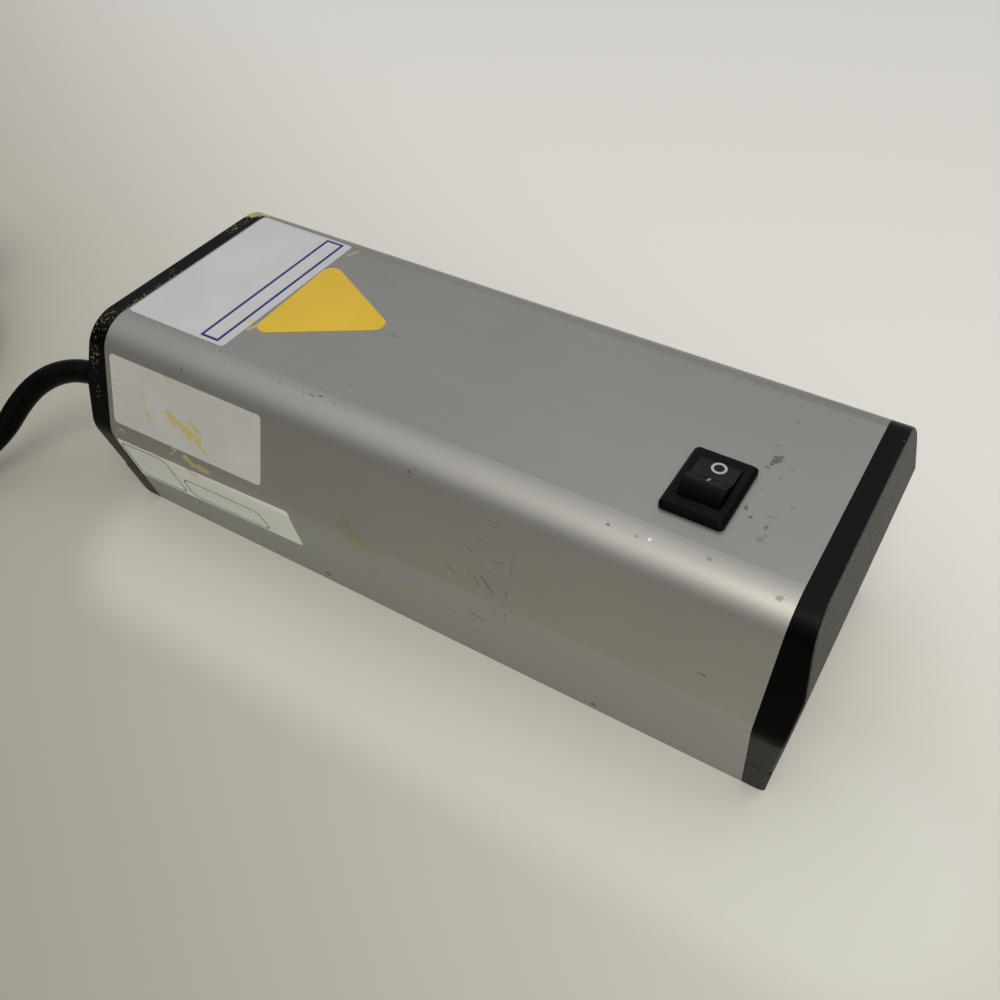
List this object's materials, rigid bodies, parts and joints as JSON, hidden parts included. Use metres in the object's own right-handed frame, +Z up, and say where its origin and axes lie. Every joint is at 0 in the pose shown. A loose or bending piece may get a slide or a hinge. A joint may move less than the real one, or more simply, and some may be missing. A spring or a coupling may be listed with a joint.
{
  "type": "handheld ultraviolet lamp",
  "caption": "Hand-held mains ultraviolet lamp: hexagonal extruded housing with faceted black end caps, filter window underneath, rocker switch on top and a mains cord.",
  "frame": {"origin": "bottom centre of the housing, on the surface the lamp lies on", "axes": "+X along the housing to the switch end, +Y across it, away from the side with the stickers, +Z up, away from the filter window"},
  "size_m": [0.376, 0.1374, 0.0677],
  "materials": {
    "housing": "satin anodised",
    "black_plastic": "satin moulded",
    "frame_paint": "satin painted",
    "zinc_screw": "zinc plated",
    "filter": "polished dark filter glass",
    "gasket": "foam",
    "spring_steel": "plain",
    "bright_aluminium": "bright",
    "tube_glass": "clear with white coating",
    "brass": "plain",
    "white_plastic": "moulded",
    "steel_sheet": "zinc coated",
    "iron_core": "varnished laminations",
    "winding_tape": "taped winding",
    "switch_plastic": "fine satin",
    "cord_pvc": "glossy flexible plastic",
    "cord_bundle": "wound cord",
    "tie_fabric": "woven strap",
    "plug_plastic": "moulded",
    "core_insulation": "plain",
    "grey_moulding": "moulded"
  },
  "bodies": {
    "lamp": {"housing": "housing", "end_cap_switch": "black_plastic", "end_cap_cord": "black_plastic", "end_cap_screws": "zinc_screw", "filter_frame": "frame_paint", "filter_frame_screws": "zinc_screw", "filter_gasket": "gasket", "filter_glass": "filter", "filter_clips": "spring_steel", "reflector": "bright_aluminium", "reflector_rivets": "bright_aluminium", "lamp_holder_switch_end": "white_plastic", "lamp_holder_cord_end": "white_plastic", "lamp_holder_screws": "zinc_screw", "chassis_plate": "steel_sheet", "ballast_core": "iron_core", "ballast_winding": "winding_tape", "ballast_bracket": "steel_sheet", "ballast_screws": "zinc_screw", "starter_socket": "grey_moulding", "terminal_block": "white_plastic", "terminal_screws": "brass", "switch_body": "switch_plastic", "switch_terminals": "brass", "strain_relief": "black_plastic", "cord_inner": "cord_pvc", "cord_clamp": "grey_moulding", "cord_cores": "core_insulation", "switch_leads": "core_insulation", "cord_lead": "cord_pvc", "cord_coil": "cord_bundle", "cord_tail": "cord_pvc", "cord_tie": "tie_fabric", "plug_cover": "plug_plastic", "plug_base": "plug_plastic", "plug_screw": "zinc_screw", "plug_pins": "brass"},
    "rocker": {"switch_rocker": "switch_plastic", "switch_plunger": "brass"},
    "contact_blade": {"switch_blade": "brass"},
    "tube": {"tube_glass": "tube_glass", "tube_end_shells": "bright_aluminium", "tube_pins": "brass"},
    "starter": {"starter_can": "white_plastic", "starter_studs": "brass"}
  },
  "joints": [
    {"name": "rocker_rock", "type": "hinge", "parent": "lamp", "child": "rocker", "pos_m": [0.0665, -0.0118, 0.0616], "axis": [1, 0, 0], "range_deg": [0, 30]},
    {"name": "contact_seesaw", "type": "hinge", "parent": "lamp", "child": "contact_blade", "pos_m": [0.0665, -0.0118, 0.0542], "axis": [1, 0, 0], "range_deg": [-16, 0]},
    {"name": "tube_twist", "type": "hinge", "parent": "lamp", "child": "tube", "pos_m": [0, 0, 0.0175], "axis": [1, 0, 0], "range_deg": [0, 90]},
    {"name": "starter_twist", "type": "hinge", "parent": "lamp", "child": "starter", "pos_m": [-0.05, 0.016, 0.0432], "axis": [1, 0, 0], "range_deg": [0, 45]}
  ],
  "couplings": [
    {"joint": "contact_seesaw", "follows": "rocker_rock", "ratio": -0.5333}
  ]
}
